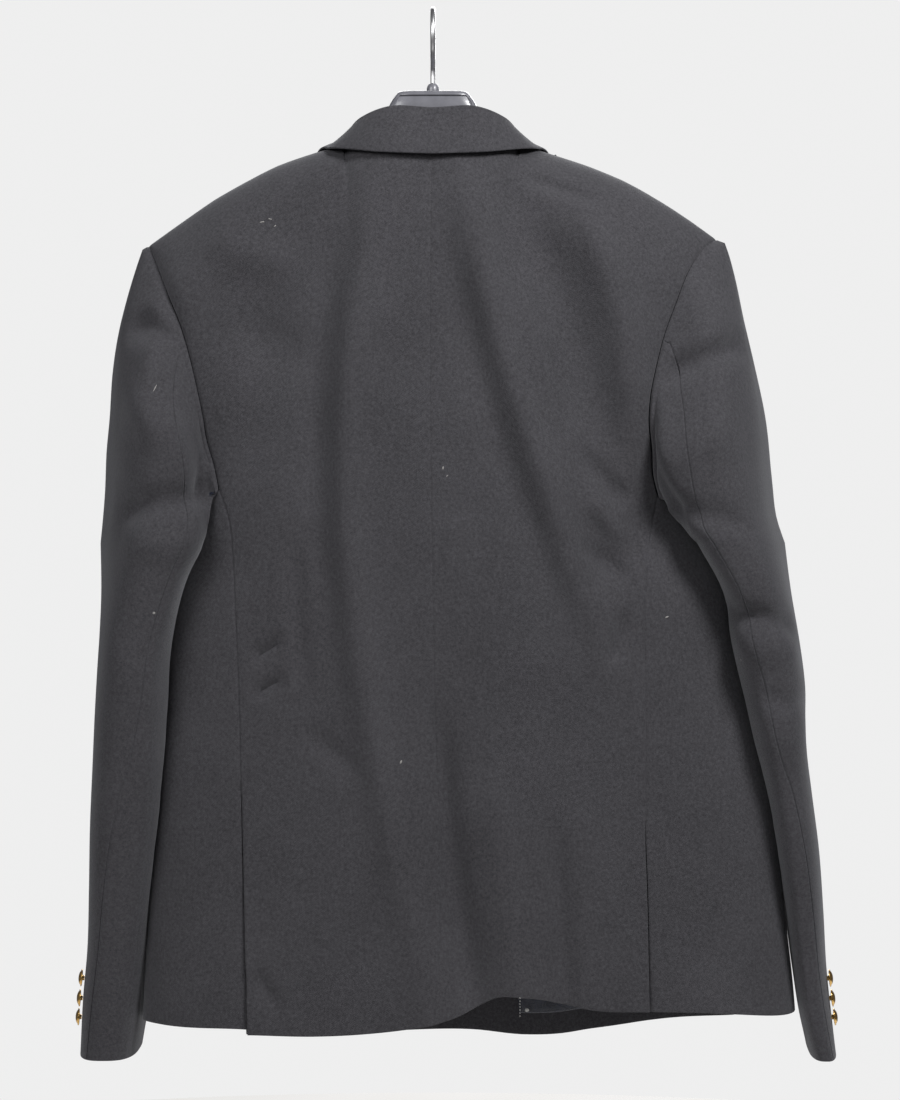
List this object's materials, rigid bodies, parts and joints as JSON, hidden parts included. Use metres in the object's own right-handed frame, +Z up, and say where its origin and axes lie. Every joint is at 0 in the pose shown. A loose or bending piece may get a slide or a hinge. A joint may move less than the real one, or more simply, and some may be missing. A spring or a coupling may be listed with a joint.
{
  "type": "reefer jacket on a hanger",
  "caption": "Dark wool double-breasted jacket with peak lapels, side vents and metal buttons, hanging on a broad-necked plastic hanger.",
  "frame": {"origin": "top of the inside of the hanger's hook, where it rests on a rail", "axes": "+X towards the wearer's right, +Y towards the wearer's front, +Z up; the jacket's back faces -Y"},
  "size_m": [0.6215, 0.1824, 0.8511],
  "materials": {
    "wool": "charcoal wool cloth with a short nap",
    "lining_satin": "dark navy satin lining",
    "button_metal": "polished, slightly worn",
    "hanger_plastic": "cool grey, soft gloss",
    "hook_steel": "plated wire"
  },
  "bodies": {
    "root": {"back_left": "wool", "back_right": "wool", "collar": "wool", "cuff_button_left_1": "button_metal", "cuff_button_left_2": "button_metal", "cuff_button_left_3": "button_metal", "cuff_button_right_1": "button_metal", "cuff_button_right_2": "button_metal", "cuff_button_right_3": "button_metal", "front_button_left_1": "button_metal", "front_button_left_2": "button_metal", "front_button_left_3": "button_metal", "front_button_right_1": "button_metal", "front_button_right_2": "button_metal", "front_button_right_3": "button_metal", "front_left": "wool", "front_right": "wool", "hanger_body": "hanger_plastic", "hanger_ferrule": "hanger_plastic", "hanger_hook": "hook_steel", "lapel_left": "wool", "lapel_right": "wool", "lining_front_right": "lining_satin", "side_left": "wool", "side_right": "wool", "top_sleeve_left": "wool", "top_sleeve_right": "wool", "under_sleeve_left": "wool", "under_sleeve_right": "wool", "vent_underlap_left": "wool", "vent_underlap_right": "wool"}
  },
  "joints": []
}
